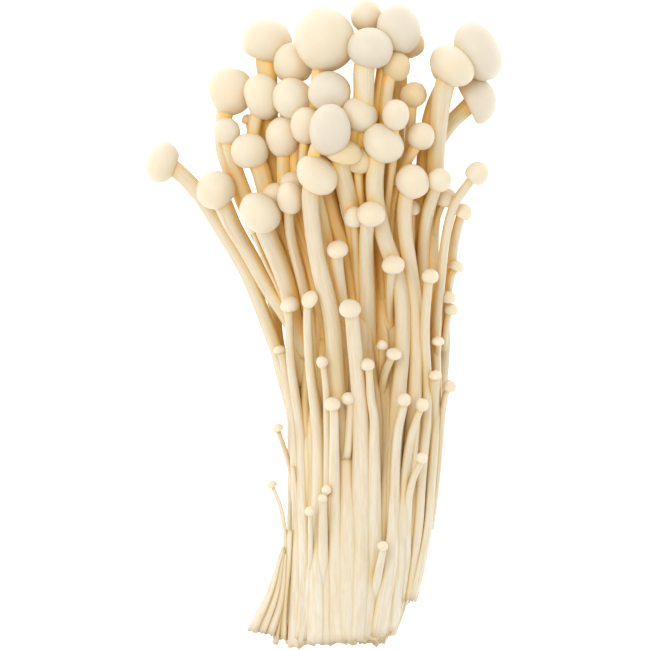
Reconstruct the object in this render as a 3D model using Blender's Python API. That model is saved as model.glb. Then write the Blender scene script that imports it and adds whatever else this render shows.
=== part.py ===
"""Enoki mushroom bunch, lying on its back on a surface.

A cut clump of enoki that grew from one base: thin stems packed side by side at the foot,
opening into a loose crown of round button caps, with smaller buttons on short stems lower down.
The clump is one grown piece, so it is one solid. The cut foot points to -Y and the crown to +Y,
and +Z is the side that shows. It rests on flats under the foot and under the lowest caps.
"""

import bisect
import math
import random
from typing import NamedTuple

import bmesh
import bpy
from mathutils import Matrix, Vector

# Driving dimensions, in metres and degrees
BUNCH_LENGTH = 0.142
CAP_FACING = 34.0          # how far the frontmost caps tilt towards the viewer
CORE_INSET = 0.0009        # how deep the packed middle lies under the outer stems' centre lines
FAR_BUTTONS = 16           # small buttons on the far side
SEED = 11

# The side that shows is laid out in the pixels of a 650 x 650 view that looks straight down
VIEW_LENGTH = 650.0
PIXEL = BUNCH_LENGTH / VIEW_LENGTH
CENTRE_X = 324.228
CENTRE_Y = 324.041
MM = 0.001

DOMES = ((13.0, 8, 4), (8.6, 6, 4), (0.0, 5, 3))   # from this half width up: sides, rings
STEM_SIDES = ((9.0, 5), (0.0, 4))                  # from this width up: sides
FACET_FIT = 1.04           # a faceted round is this much larger, so that its mean radius is true
CORE_SIDES = 16
STRAND_SIDES = 5
JOIN_ROW = 335.0           # stems that are lost behind others run into the packed middle here
JOIN_LAYER = 0.45
ROW_STEP = 62.0
TWINNED_FROM = 12.0        # caps of this half width and more have a twin right behind them
TWINNED_WITHIN = 0.84      # but not those that hang out past this part of the clump's half width
TWIN_DEPTHS = ((-1.14, 0.0, True), (-0.2, 0.16, False))   # layer, pull to the middle, down to the foot
PULLED_WITHIN = 0.5
FLANK_DEPTHS = ((-0.6, 0.0, True), (-0.1, 0.0, True))     # the same, down each side of the clump
FLANK_TWINS = 2
FLANK_SIDE = 0.97          # how far out their stems run
TWIN_SIZES = (0.74, 0.86)  # a twin's cap, as a part of the one in front
FLATTENED = (0.8, 0.95)    # a far cap's height, as a part of its half width
FOOT_ROWS = (330, 430, 530)
FOOT_ENDS = (632, 646)     # rows where the stems are cut
CLIPPED_ENDS = (598, 606)
BUTTON_LAYER = -1.12
BUTTON_SIZES = (6, 11)
BUTTON_ROWS = (225, 540)
CLIPPED_SIDE = 0.86        # past this, on the right, the foot was cut higher
LOWEST_CAP = 0.84          # a cap that bears on the surface is pressed flat to this part of its radius
TRIANGLES = 11600
FLAT_DEPTH = 0.0001        # what lies this low belongs to the flats that the clump rests on
TINY_EDGE = 0.000001       # shorter edges, left where facets cross, are closed up
TRIALS = 30                # places tried for each button on the far side
UNDERSIDE = -0.84          # where a cap ends under its widest part, as a part of its size
RIM = -0.2                 # the same for a cap whose open side shows


class Section(NamedTuple):
    """The clump across one row of the view: stem centre lines, pixels across, mm high."""

    row: float
    left: float
    right: float
    middle: float
    half: float


class Mushroom(NamedTuple):
    """One mushroom of the clump: pixels in the view, degrees anticlockwise, height in mm."""

    x: float
    y: float
    wide: float            # half the cap's width, across its axis
    tall: float            # half its height as seen, along its axis
    lean: float            # the way the cap points in the view
    height: float          # the cap's centre above the surface
    stem: float            # the stem's width under the cap
    foot: float            # its width at the other end
    to_foot: bool          # it can be followed down to the cut foot
    route: tuple           # where the stem runs, from under the cap


SECTIONS = (
    Section(0, 262, 480, 25.0, 15.0),
    Section(40, 240, 500, 24.5, 18.0),
    Section(100, 212, 490, 24.5, 20.0),
    Section(150, 205, 478, 24.0, 20.0),
    Section(200, 220, 464, 22.0, 18.5),
    Section(250, 240, 458, 19.8, 16.2),
    Section(300, 262, 450, 17.8, 14.4),
    Section(350, 279, 444, 16.4, 13.3),
    Section(400, 290, 442, 15.4, 12.6),
    Section(450, 295, 437, 14.6, 12.2),
    Section(500, 294, 432, 14.0, 12.0),
    Section(550, 291, 424, 13.4, 12.0),
    Section(600, 287, 408, 13.0, 12.0),
    Section(650, 285, 390, 12.7, 12.0),
)

CROWN = (
    Mushroom(267.5, 40.5, 25.5, 21.5, 74, 26, 19, 14, False, ((265.5, 62), (268, 78), (268, 112))),
    Mushroom(
        230.5, 90.5, 24.5, 21, 24, 27, 18, 13, False,
        ((225, 112), (224, 150), (237, 187), (252, 222)),
    ),
    Mushroom(227, 131, 13.5, 13, 80, 31, 13, 10, False, ((229, 146), (238, 175), (252, 210))),
    Mushroom(
        263.5, 97, 23.5, 18.5, 20, 31, 15, 11, False,
        ((256, 118), (253, 150), (262, 185), (272, 215)),
    ),
    Mushroom(
        291, 98.5, 22, 17.5, 42, 34, 15, 11, False,
        ((288, 120), (293, 150), (296, 180), (300, 215)),
    ),
    Mushroom(293.5, 61.5, 20, 20.5, 95, 28.5, 15, 11, False, ((295, 84), (296, 120))),
    Mushroom(326.3, 40, 32, 29, 25, 35.5, 16, 12, False, ((319, 74), (316, 110))),
    Mushroom(366, 15.5, 15.5, 15.5, 85, 29, 13, 10, False, ((364, 33), (362, 90))),
    Mushroom(370, 48.5, 23, 20, 82, 40, 20, 15, False, ((364, 68), (363.5, 92), (362, 120))),
    Mushroom(399.5, 29.7, 25, 20.5, 20, 35, 15, 12, False, ((388, 50), (381, 90))),
    Mushroom(412, 44, 13, 13, 20, 27, 10, 8, False, ((404, 58), (399, 110))),
    Mushroom(396, 67, 14, 14.5, 80, 38, 15, 11, False, ((388, 82), (384.5, 120), (386, 150))),
    Mushroom(413.5, 95, 13, 12.5, 120, 33, 10, 9, False, ((411, 112), (409, 150))),
    Mushroom(395.5, 115.5, 13.5, 15, 85, 35, 10, 8, False, ((394, 132), (392, 165))),
    Mushroom(
        421, 135.5, 13.5, 13.5, 70, 37, 11, 9, False,
        ((414, 150), (404, 166), (394, 192), (390, 215)),
    ),
    Mushroom(360, 115, 19, 15.5, 50, 44, 14, 10, False, ((354, 132), (352, 170))),
    Mushroom(
        329.5, 91, 21.5, 19.5, 60, 39, 18, 15, False,
        ((326, 115), (322, 160), (332, 215), (348, 258), (355, 310), (357, 350)),
    ),
    Mushroom(330, 130, 20.5, 25, 90, 45, 13, 9, False, ((316, 150), (313, 175), (322, 215))),
    Mushroom(306, 126, 15.5, 18, 92, 38, 9, 8, False, ((304, 145), (303, 175))),
    Mushroom(282.7, 136, 17, 19.6, 95, 34, 15, 12, False, ((283.5, 157), (284, 175), (286, 200))),
    Mushroom(
        383, 143.5, 22, 17.5, 50, 41, 18, 16, True,
        ((376, 163), (375, 198), (383, 235), (397, 275), (402, 300), (402, 350), (397, 410),
         (394, 470), (393, 550), (386, 600), (380, 634)),
    ),
    Mushroom(
        452, 65.7, 24, 18, 55, 34, 19, 13, False,
        ((445, 84), (440.5, 104), (436, 150), (434.5, 190), (431, 240), (432, 330)),
    ),
    Mushroom(
        478.8, 51.4, 31, 21, 28, 28, 15, 12, False,
        ((456, 68), (438, 88), (427, 112), (418, 145)),
    ),
    Mushroom(
        473, 105, 22.7, 20.5, 25, 25, 16, 12, False,
        ((464, 110), (449, 125), (436, 146), (428, 190)),
    ),
    Mushroom(
        161.5, 162, 21, 15.5, 160, 24, 17, 13, False,
        ((176, 170), (200, 195), (221, 228), (247, 274), (266, 322), (279, 358), (290, 395),
         (300, 430)),
    ),
    Mushroom(
        215.5, 189.5, 19.5, 18.3, 120, 31, 17, 12, False,
        ((224, 206), (232, 224), (247, 250), (269, 290), (291, 324), (301, 355), (304, 385)),
    ),
    Mushroom(249.7, 150.3, 18.7, 17.3, 95, 33, 18, 13, False, ((259, 166), (266, 190), (278, 225))),
    Mushroom(
        260.7, 212.7, 22.3, 17.8, 47, 37, 20, 15, False,
        ((268, 230), (283, 258), (293, 288), (299, 325)),
    ),
    Mushroom(252, 229, 6, 6, 110, 31, 5, 4, False, ((255, 237), (264, 260), (276, 285))),
    Mushroom(
        317.3, 175.2, 22.5, 16, 48, 43, 16, 17, True,
        ((310.5, 192), (313, 230), (320, 270), (331, 315), (334.5, 350), (337, 385), (341.5, 420),
         (344, 460), (346, 520), (347, 580), (346, 642)),
    ),
    Mushroom(
        290, 198, 13, 15.8, 95, 38, 11, 11, False,
        ((289, 214), (291, 236), (302, 281), (311, 320), (318, 375)),
    ),
    Mushroom(291.5, 184, 12, 12, 92, 33, 8, 6, False, ((292, 197), (294, 215))),
    Mushroom(275, 195, 13, 12, 100, 32, 9, 7, False, ((277, 208), (281, 230))),
    Mushroom(342, 154, 19, 12, 80, 38, 16, 13, False, ((341, 167), (346, 190), (352, 215), (358, 250))),
    Mushroom(358, 161, 13, 12, 80, 36, 10, 8, False, ((358, 173), (360, 200))),
    Mushroom(
        371, 214, 14.3, 12.3, 85, 41, 13, 17, False,
        ((367, 226), (366, 250), (367, 290), (368, 330), (370, 370)),
    ),
    Mushroom(354, 218, 10.5, 11.5, 90, 37.5, 9, 9, False, ((355, 230), (357, 262), (360, 300))),
    Mushroom(
        337.5, 249.8, 10.8, 9.5, 100, 37, 12, 12, False,
        ((337, 260), (340, 285), (344, 320), (346, 360)),
    ),
    Mushroom(
        412.3, 181, 17.5, 14.3, 42, 38, 15, 15, True,
        ((406, 195), (404, 225), (410, 270), (415, 310), (415, 380), (411, 440), (402, 520),
         (389, 632)),
    ),
    Mushroom(
        439.3, 180, 12, 11.8, 70, 37, 13, 12, False,
        ((434, 191), (425.5, 222), (423, 260), (425, 330)),
    ),
    Mushroom(393, 179, 8.5, 8.5, 90, 34, 6, 6, False, ((392, 188), (391, 210))),
    Mushroom(412, 209, 8, 8, 90, 32, 6, 6, False, ((412, 218), (412, 240))),
    Mushroom(446, 199, 11, 11, 80, 30, 7, 7, False, ((440, 210), (434, 235), (434, 265))),
    Mushroom(
        476.5, 174, 11.5, 12.8, 50, 34, 9, 12, True,
        ((468, 184), (454, 205), (446, 235), (441, 280), (436, 340), (437, 400), (432, 475),
         (426, 540), (413, 600)),
    ),
    Mushroom(462, 213.5, 9.5, 10.5, 60, 29, 9, 9, False, ((459, 222), (454, 245), (450, 280))),
    Mushroom(456, 267.5, 8.5, 7.5, 70, 23, 8, 6, False, ((451, 275), (447, 300))),
)

BUTTONS = (
    Mushroom(
        279.8, 351, 6.3, 5.5, 95, 21, 9, 15, True,
        ((283, 357), (288.5, 389), (292.5, 423), (295, 460), (297, 500), (297, 560), (295, 648)),
    ),
    Mushroom(
        289.8, 305, 9.5, 8.2, 100, 29, 8, 14, True,
        ((289.3, 313), (290.5, 356), (293.5, 383), (299, 422), (302, 460), (302, 500), (304, 560),
         (307, 645)),
    ),
    Mushroom(
        309.8, 299.5, 9.6, 7.6, 145, 33, 8.5, 17, True,
        ((307.5, 310), (308.5, 343), (310.5, 370), (315.5, 409), (318.5, 440), (319, 480), (318, 530),
         (318, 580), (317, 644)),
    ),
    Mushroom(
        350, 309, 11, 9.7, 90, 37, 13, 19, True,
        ((351.5, 318), (354, 345), (357, 375), (359.5, 405), (361, 440), (361.5, 480), (361, 530),
         (358, 590), (354, 641)),
    ),
    Mushroom(
        322.3, 362.3, 6, 6.2, 130, 32, 6, 13, True,
        ((323.5, 368), (326, 390), (327.5, 425), (328, 470), (328, 520), (327, 580), (328, 644)),
    ),
    Mushroom(
        367.5, 364.7, 7.2, 6.5, 90, 33.5, 8, 16, True,
        ((368.8, 371), (370.5, 396), (375.5, 420), (377, 450), (377, 500), (374, 560), (369, 600),
         (365, 639)),
    ),
    Mushroom(393, 265, 11.5, 9.5, 90, 37, 9, 7, False, ((391, 275), (390, 310), (394, 350))),
    Mushroom(
        430, 276.5, 8.5, 7.5, 85, 34, 9, 13, True,
        ((428, 286), (425, 330), (427, 400), (421, 480), (418, 530), (409, 600)),
    ),
    Mushroom(438, 342, 6.5, 5.8, 90, 26, 6, 9, False, ((438, 349), (434, 366), (432, 385))),
    Mushroom(449, 298, 7, 7, 85, 24, 6, 6, False, ((448, 306), (446, 330))),
    Mushroom(451.5, 310, 6.8, 6.8, 80, 23, 6, 6, False, ((448, 318), (444, 350))),
    Mushroom(382, 346, 5.5, 6, 90, 30, 6, 6, False, ((382, 353), (382, 385), (383, 420))),
    Mushroom(394, 354, 7.7, 6, 85, 32, 7, 11, False, ((391, 359), (385, 373), (382, 393), (381, 425))),
    Mushroom(
        435.5, 376, 6.5, 5.6, 95, 27, 9, 12, False,
        ((435, 381), (434, 410), (434, 450), (431, 490)),
    ),
    Mushroom(
        332.3, 404, 8.3, 7, 90, 32, 8, 16, True,
        ((334, 412), (334.3, 450), (334.5, 520), (336, 580), (337.5, 643)),
    ),
    Mushroom(
        348.3, 398.5, 7, 6.5, 95, 31, 7.5, 7.5, True,
        ((350.5, 406), (349.5, 425), (347.5, 450), (346, 459)),
    ),
    Mushroom(
        403.7, 400, 7.2, 7, 85, 31, 7.5, 12, True,
        ((403, 408), (398, 430), (395.5, 460), (394, 520), (392, 560), (388, 600), (384, 634)),
    ),
    Mushroom(
        421.8, 405, 6.9, 6.9, 70, 29, 7.5, 15, True,
        ((419, 412), (411, 436), (406, 470), (403, 510), (400, 560), (396, 598), (391, 632)),
    ),
    Mushroom(
        449.8, 386.8, 7, 6.8, 75, 22, 7, 9, False,
        ((446, 394), (442.5, 420), (438, 475), (431, 530)),
    ),
    Mushroom(
        277.5, 429.5, 6.5, 5.5, 115, 20, 5.5, 7, False,
        ((279.5, 435), (286, 455), (291, 475), (295, 505)),
    ),
    Mushroom(
        271.7, 486, 5.8, 5.2, 115, 18, 4.5, 9, True,
        ((274, 491), (281, 510), (285, 540), (284, 580), (279, 618), (275, 644)),
    ),
    Mushroom(326.6, 490, 5, 5, 90, 28.3, 5, 5, False, ((327, 495), (327, 515))),
    Mushroom(
        322.7, 498.5, 4.7, 4.7, 95, 29, 7, 12, True,
        ((323, 504), (323, 545), (324, 590), (326, 644)),
    ),
    Mushroom(
        310, 511.3, 5.3, 5, 90, 28, 4.5, 4.5, True,
        ((310.4, 517), (310.5, 545), (310, 590), (309, 643)),
    ),
    Mushroom(
        421.7, 458.3, 5.8, 5.8, 70, 28, 6, 12, True,
        ((420, 464), (413.5, 478), (409, 497), (407, 525), (406, 560), (402, 600)),
    ),
    Mushroom(
        382.7, 546, 5.2, 5.2, 85, 29, 5.5, 10, True,
        ((382.5, 552), (378, 575), (374, 605), (371, 638)),
    ),
)

# Broken strands of the foot, which have lost their caps: width at the top and at the foot, and the route
STRANDS = (
    (6, 11, ((282, 548), (269, 592), (252, 632))),
    (7, 11, ((283, 550), (273, 595), (260, 633))),
    (7, 10, ((285, 554), (278, 600), (268, 635))),
    (6, 10, ((310, 563), (307, 600), (303, 644))),
    (7, 10, ((290, 531), (288, 565), (284, 604), (283, 640))),
    (5, 6, ((344.5, 400), (345.5, 430), (347, 466))),
    (8, 15, ((395, 440), (394, 500), (391, 560), (384, 600), (377, 636))),
)

# Caps with nothing under the rim, whose open side shows
OPEN_CAPS = (
    (473, 105), (342, 154), (462, 213.5), (456, 267.5), (279.8, 351), (277.5, 429.5), (271.7, 486),
    (382, 346), (438, 342), (435.5, 376),
)


def section_at(row):
    """The clump's section at a row, straight between the two that are given around it."""
    rows = [section.row for section in SECTIONS]
    after = min(max(bisect.bisect(rows, row), 1), len(rows) - 1)
    low, high = SECTIONS[after - 1], SECTIONS[after]
    part = min(max((row - low.row) / (high.row - low.row), 0.0), 1.0)
    return Section(*(a + (b - a) * part for a, b in zip(low, high)))


def across(section, x):
    """How far a pixel lies from the section's middle: 0 there, 1 at its side."""
    half_width = (section.right - section.left) / 2
    return (x - section.left - half_width) / half_width


def level(section, x, layer, roundness):
    """Height in mm of a layer, 1 on the front and -1 on the back, over an oval section."""
    side = min(abs(across(section, x)), 1.0)
    oval = 1 + (math.sqrt(max(1 - side**2, 0.12)) - 1) * roundness
    return section.middle + layer * section.half * oval


def place(x, y, height):
    """A point of the view, with its height in mm, as a place in metres."""
    return Vector(((x - CENTRE_X) * PIXEL, (CENTRE_Y - y) * PIXEL, height * MM))


def stem_line(mushroom):
    """The stem's points from inside its cap down to the foot, or into the packed middle."""
    own = section_at(mushroom.y)
    top_layer = (mushroom.height - own.middle) / own.half
    end_layer = math.copysign(1.0 if mushroom.to_foot else JOIN_LAYER, top_layer)
    points = [(mushroom.x, mushroom.y), *mushroom.route]
    x, y = points[-1]
    side = across(section_at(y), x)
    while not mushroom.to_foot and y < JOIN_ROW:
        y = min(y + ROW_STEP, JOIN_ROW + 20)
        here = section_at(y)
        points.append((here.left + (here.right - here.left) * (1 + side * 0.9) / 2, y))
    last = points[-1][1]
    line = []
    for x, y in points:
        down = max(y - mushroom.y, 0.0) / max(last - mushroom.y, 1.0)
        blend = min(down * 1.6, 1.0) if mushroom.to_foot else down**0.9
        layer = top_layer + (end_layer - top_layer) * blend
        line.append(place(x, y, level(section_at(y), x, layer, min(down * 2.5, 1.0))))
    line[0].z = mushroom.height * MM
    return line


def turned_to(direction):
    """A turn that carries +Z onto a direction."""
    return Vector(direction).to_track_quat("Z", "Y").to_matrix().to_4x4()


def add_object(name, mesh_builder, collection):
    """Makes an object in the collection from a bmesh, with its faces pointing out."""
    bmesh.ops.recalc_face_normals(mesh_builder, faces=mesh_builder.faces)
    mesh = bpy.data.meshes.new(name)
    mesh_builder.to_mesh(mesh)
    mesh_builder.free()
    thing = bpy.data.objects.new(name, mesh)
    collection.objects.link(thing)
    return thing


def grow_rings(builder, frames, sides):
    """Closes a body over a row of rings: each frame carries a unit circle to its ring."""
    disc = bmesh.ops.create_circle(builder, cap_ends=True, segments=sides, radius=1, matrix=frames[0])
    end = list(disc["verts"][0].link_faces)
    for step in range(1, len(frames)):
        start = end
        grown = bmesh.ops.extrude_face_region(builder, geom=start)["geom"]
        verts = [item for item in grown if isinstance(item, bmesh.types.BMVert)]
        end = [item for item in grown if isinstance(item, bmesh.types.BMFace)]
        if step > 1:
            bmesh.ops.delete(builder, geom=start, context="FACES_ONLY")
        bmesh.ops.transform(builder, matrix=frames[step] @ frames[step - 1].inverted(), verts=verts)


def swept(name, line, radii, sides, collection):
    """A closed rod along a line, one ring of its sides at each point."""
    builder = bmesh.new()
    tangents = [
        (line[min(i + 1, len(line) - 1)] - line[max(i - 1, 0)]).normalized() for i in range(len(line))
    ]
    frames = [
        Matrix.Translation(point) @ turned_to(tangent) @ Matrix.Scale(radius, 4)
        for point, tangent, radius in zip(line, tangents, radii)
    ]
    grow_rings(builder, frames, sides)
    return add_object(name, builder, collection)


def cap_axis(mushroom):
    """The way the cap points: its lean in the view, and towards the viewer if it is on the front."""
    own = section_at(mushroom.y)
    facing = math.radians(CAP_FACING) * (mushroom.height - own.middle) / own.half
    lean = math.radians(mushroom.lean)
    axis = Vector((math.cos(lean) * math.cos(facing), math.sin(lean) * math.cos(facing), math.sin(facing)))
    return axis, facing


def add_cap(name, mushroom, collection):
    """A button cap: a dome drawn in under its rim, where the stem goes in."""
    sides, rings = next((sides, rings) for least, sides, rings in DOMES if mushroom.wide >= least)
    axis, facing = cap_axis(mushroom)
    seen_tall = mushroom.tall**2 - (mushroom.wide * math.sin(facing)) ** 2
    tall = max(math.sqrt(max(seen_tall, 0.0)) / math.cos(facing), mushroom.wide * 0.62)
    opened = (mushroom.x, mushroom.y) in OPEN_CAPS
    builder = bmesh.new()
    bmesh.ops.create_uvsphere(builder, u_segments=sides, v_segments=rings, radius=FACET_FIT)
    for vert in builder.verts:
        vert.co.z = max(vert.co.z, RIM if opened else UNDERSIDE)
    size = Matrix.Diagonal((mushroom.wide * PIXEL, mushroom.wide * PIXEL, tall * PIXEL, 1))
    centre = Matrix.Translation(place(mushroom.x, mushroom.y, mushroom.height))
    bmesh.ops.transform(builder, matrix=centre @ turned_to(axis) @ size, verts=builder.verts)
    return add_object(name, builder, collection)


def add_mushroom(index, mushroom, collection):
    """A cap and the stem under it."""
    line = stem_line(mushroom)
    steps = len(line) - 1
    radii = [
        (mushroom.stem + (mushroom.foot - mushroom.stem) * i / steps) * PIXEL / 2 * FACET_FIT
        for i in range(steps + 1)
    ]
    sides = next(sides for least, sides in STEM_SIDES if mushroom.stem >= least)
    swept(f"stem_{index}", line, radii, sides, collection)
    add_cap(f"cap_{index}", mushroom, collection)


def add_core(collection):
    """The packed middle of the foot, where all the stems run together."""
    builder = bmesh.new()
    rows = (638, 600, 500, 400, 330, 285, 235)
    fullness = (0.95, 1.0, 1.0, 1.0, 0.95, 0.82, 0.4)
    rings = []
    for row, full in zip(rows, fullness):
        here = section_at(row)
        wide = (here.right - here.left) / 2 * PIXEL * full - CORE_INSET
        high = here.half * MM * full - CORE_INSET
        middle = place((here.left + here.right) / 2, row, here.middle)
        rings.append(
            Matrix.Translation(middle) @ turned_to((0, 1, 0)) @ Matrix.Diagonal((wide, high, 1, 1))
        )
    grow_rings(builder, rings, CORE_SIDES)
    return add_object("packed_middle", builder, collection)


def gap_to_others(x, y, height, wide, others):
    """The least clear distance, in pixels, between a cap and the caps already placed."""
    here = Vector((x, y, height * MM / PIXEL))
    return min(
        (here - Vector((other.x, other.y, other.height * MM / PIXEL))).length - wide - other.wide
        for other in others
    )


def far_height(x, y, layer, wide):
    """The height of a far cap: on its layer, and clear of the surface."""
    return max(level(section_at(y), x, layer, 0.2), wide * PIXEL / MM * LOWEST_CAP)


def far_twin(draw, front, layer, pull, to_foot, side_end=None):
    """A mushroom right behind one that shows: smaller, with its stem along nearly the same way."""
    wide = front.wide * draw.uniform(*TWIN_SIZES)
    tall = wide * draw.uniform(*FLATTENED)
    lean = front.lean + draw.uniform(-12, 12)
    here = section_at(front.y)
    middle = (here.left + here.right) / 2
    drawn_in = (middle - front.x) * (pull if abs(across(here, front.x)) < PULLED_WITHIN else 0.0)
    x = front.x + drawn_in * 0.3
    y = front.y + draw.uniform(0, 3)
    route = []
    for point_x, point_y in front.route:
        if point_y < FOOT_ROWS[0]:
            route.append((point_x + drawn_in + draw.uniform(-1, 1), point_y))
    if to_foot:
        side = across(section_at(route[-1][1]), route[-1][0])
        if side_end is not None:
            side = side_end
        side = min(max(side, -FLANK_SIDE), FLANK_SIDE)
        foot = draw.uniform(*(CLIPPED_ENDS if side > CLIPPED_SIDE else FOOT_ENDS))
        for row in (*FOOT_ROWS, foot):
            if row > route[-1][1] + 30:
                there = section_at(row)
                strayed = side + draw.uniform(-0.04, 0.04) * (1 - abs(side))
                route.append((there.left + (there.right - there.left) * (1 + strayed) / 2, row))
    stem = front.stem * draw.uniform(0.75, 0.9)
    foot_width = draw.uniform(11, 16) if to_foot else stem * 0.8
    return Mushroom(
        x, y, wide, tall, lean, far_height(x, y, layer, wide), stem, foot_width, to_foot, tuple(route)
    )


def far_button(draw):
    """One small mushroom on the far side, grown out of the packed stems."""
    wide = draw.uniform(*BUTTON_SIZES)
    y = draw.uniform(*BUTTON_ROWS)
    here = section_at(y)
    half_width = (here.right - here.left) / 2
    x = here.left + half_width + draw.uniform(-0.9, 0.9) * (half_width - wide)
    lean = math.degrees(math.atan2(430 - y, x - 345)) + draw.uniform(-8, 8)
    away = math.radians(lean)
    under = (x - math.cos(away) * wide, y + math.sin(away) * wide)
    route = [under]
    if y > JOIN_ROW - 60:
        route.append((under[0] - math.cos(away) * 30, under[1] + draw.uniform(45, 70)))
    height = far_height(x, y, BUTTON_LAYER, wide)
    tall = wide * draw.uniform(*FLATTENED)
    stem = max(wide * 0.65, 5.5)
    return Mushroom(x, y, wide, tall, lean, height, stem, 5, False, tuple(route))


def far_mushrooms():
    """The far side of the clump, by rule: a twin behind each grown cap that shows, then buttons."""
    draw = random.Random(SEED)
    fronts = [
        one for one in CROWN
        if one.wide >= TWINNED_FROM and abs(across(section_at(one.y), one.x)) < TWINNED_WITHIN
    ]
    fronts.sort(key=lambda one: one.x)
    placed = list(CROWN + BUTTONS)
    shown = len(placed)
    for i, front in enumerate(fronts):
        placed.append(far_twin(draw, front, *TWIN_DEPTHS[i % len(TWIN_DEPTHS)]))
    for depth in FLANK_DEPTHS:
        for front in fronts[:FLANK_TWINS]:
            placed.append(far_twin(draw, front, *depth, -FLANK_SIDE))
        for front in fronts[-FLANK_TWINS:]:
            placed.append(far_twin(draw, front, *depth, FLANK_SIDE))
    for _ in range(FAR_BUTTONS):
        trials = [far_button(draw) for _ in range(TRIALS)]
        roomiest = max(
            trials, key=lambda one: gap_to_others(one.x, one.y, one.height, one.wide, placed)
        )
        placed.append(roomiest)
    return placed[shown:]


def joined(pieces):
    """One mesh of all the pieces of a collection, fused, with the flats under it cut."""
    first = pieces.objects[0]
    pieces.objects.unlink(first)
    bpy.context.scene.collection.objects.link(first)
    fuse = first.modifiers.new("fuse", "BOOLEAN")
    fuse.operation = "UNION"
    fuse.operand_type = "COLLECTION"
    fuse.collection = pieces
    fuse.solver = "MANIFOLD"
    bpy.ops.mesh.primitive_cube_add(size=1, location=(0, 0, -0.05))
    surface = bpy.context.object
    surface.name = "surface_cutter"
    surface.scale = (0.4, 0.4, 0.1)
    surface.hide_render = True
    surface.display_type = "WIRE"
    flat = first.modifiers.new("flats", "BOOLEAN")
    flat.operation = "DIFFERENCE"
    flat.object = surface
    flat.solver = "MANIFOLD"
    bpy.context.view_layer.update()
    fused = bpy.data.meshes.new_from_object(first.evaluated_get(bpy.context.evaluated_depsgraph_get()))
    for helper in [surface, first, *pieces.objects]:
        bpy.data.objects.remove(helper, do_unlink=True)
    bpy.data.collections.remove(pieces)
    return fused


def keep_outer_shell(mesh):
    """Fills sealed hollows and drops scraps, by keeping only the largest closed shell."""
    builder = bmesh.new()
    builder.from_mesh(mesh)
    bmesh.ops.dissolve_degenerate(builder, dist=TINY_EDGE, edges=builder.edges)
    bmesh.ops.triangulate(builder, faces=builder.faces)
    unseen = set(builder.verts)
    shells = []
    while unseen:
        edge_of_shell = [unseen.pop()]
        shell = set(edge_of_shell)
        while edge_of_shell:
            vert = edge_of_shell.pop()
            for edge in vert.link_edges:
                other = edge.other_vert(vert)
                if other in unseen:
                    unseen.discard(other)
                    shell.add(other)
                    edge_of_shell.append(other)
        shells.append(shell)
    shells.sort(key=len)
    spare = [vert for shell in shells[:-1] for vert in shell]
    bmesh.ops.delete(builder, geom=spare, context="VERTS")
    builder.to_mesh(mesh)
    builder.free()


def thinned(mesh):
    """Closes up the short edges where facets cross, until the mesh is light enough."""
    holder = bpy.data.objects.new("holder", mesh)
    bpy.context.scene.collection.objects.link(holder)
    thin = holder.modifiers.new("thin", "DECIMATE")
    thin.ratio = min(TRIANGLES / len(mesh.polygons), 1.0)
    bpy.context.view_layer.update()
    light = bpy.data.meshes.new_from_object(holder.evaluated_get(bpy.context.evaluated_depsgraph_get()))
    bpy.data.objects.remove(holder, do_unlink=True)
    for vert in light.vertices:
        if vert.co.z < FLAT_DEPTH:
            vert.co.z = 0.0
    return light


def enoki_flesh():
    """Waxy cream flesh."""
    material = bpy.data.materials.new("enoki_flesh")
    material.use_nodes = True
    shader = material.node_tree.nodes["Principled BSDF"]
    shader.inputs["Base Color"].default_value = (0.91, 0.82, 0.62, 1)
    shader.inputs["Roughness"].default_value = 0.45
    shader.inputs["Metallic"].default_value = 0.0
    shader.inputs["Subsurface Weight"].default_value = 0.3
    shader.inputs["Subsurface Radius"].default_value = (0.003, 0.002, 0.001)
    return material


def build():
    """The whole clump, with its origin at the middle of its underside."""
    for thing in list(bpy.data.objects):
        bpy.data.objects.remove(thing, do_unlink=True)
    pieces = bpy.data.collections.new("mushrooms")
    bpy.context.scene.collection.children.link(pieces)
    add_core(pieces)
    for index, mushroom in enumerate([*CROWN, *BUTTONS, *far_mushrooms()]):
        add_mushroom(index, mushroom, pieces)
    for index, (top, foot, route) in enumerate(STRANDS):
        line = [place(x, y, level(section_at(y), x, 1.0, 1.0)) for x, y in route]
        steps = len(line) - 1
        radii = [(top + (foot - top) * i / steps) * PIXEL / 2 * FACET_FIT for i in range(steps + 1)]
        swept(f"strand_{index}", line, radii, STRAND_SIDES, pieces)
    fused = joined(pieces)
    keep_outer_shell(fused)
    fused = thinned(fused)
    fused.name = "enoki_bunch"
    bunch = bpy.data.objects.new("enoki_bunch", fused)
    bpy.context.scene.collection.objects.link(bunch)
    corners = [vert.co for vert in fused.vertices]
    middle = Vector(
        (
            -(min(c.x for c in corners) + max(c.x for c in corners)) / 2,
            -(min(c.y for c in corners) + max(c.y for c in corners)) / 2,
            0,
        )
    )
    fused.transform(Matrix.Translation(middle))
    fused.materials.clear()
    fused.materials.append(enoki_flesh())
    fused.shade_smooth()
    fused.set_sharp_from_angle(angle=math.radians(50))
    return bunch


build()
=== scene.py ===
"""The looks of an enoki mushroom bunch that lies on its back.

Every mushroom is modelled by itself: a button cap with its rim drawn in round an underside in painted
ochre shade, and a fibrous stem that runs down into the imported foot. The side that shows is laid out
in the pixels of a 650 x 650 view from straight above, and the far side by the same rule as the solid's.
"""

import bisect
import math
import random
from typing import NamedTuple

import bmesh
import bpy
import numpy as np
from mathutils import Matrix, Vector, noise
from mathutils.bvhtree import BVHTree


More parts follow.
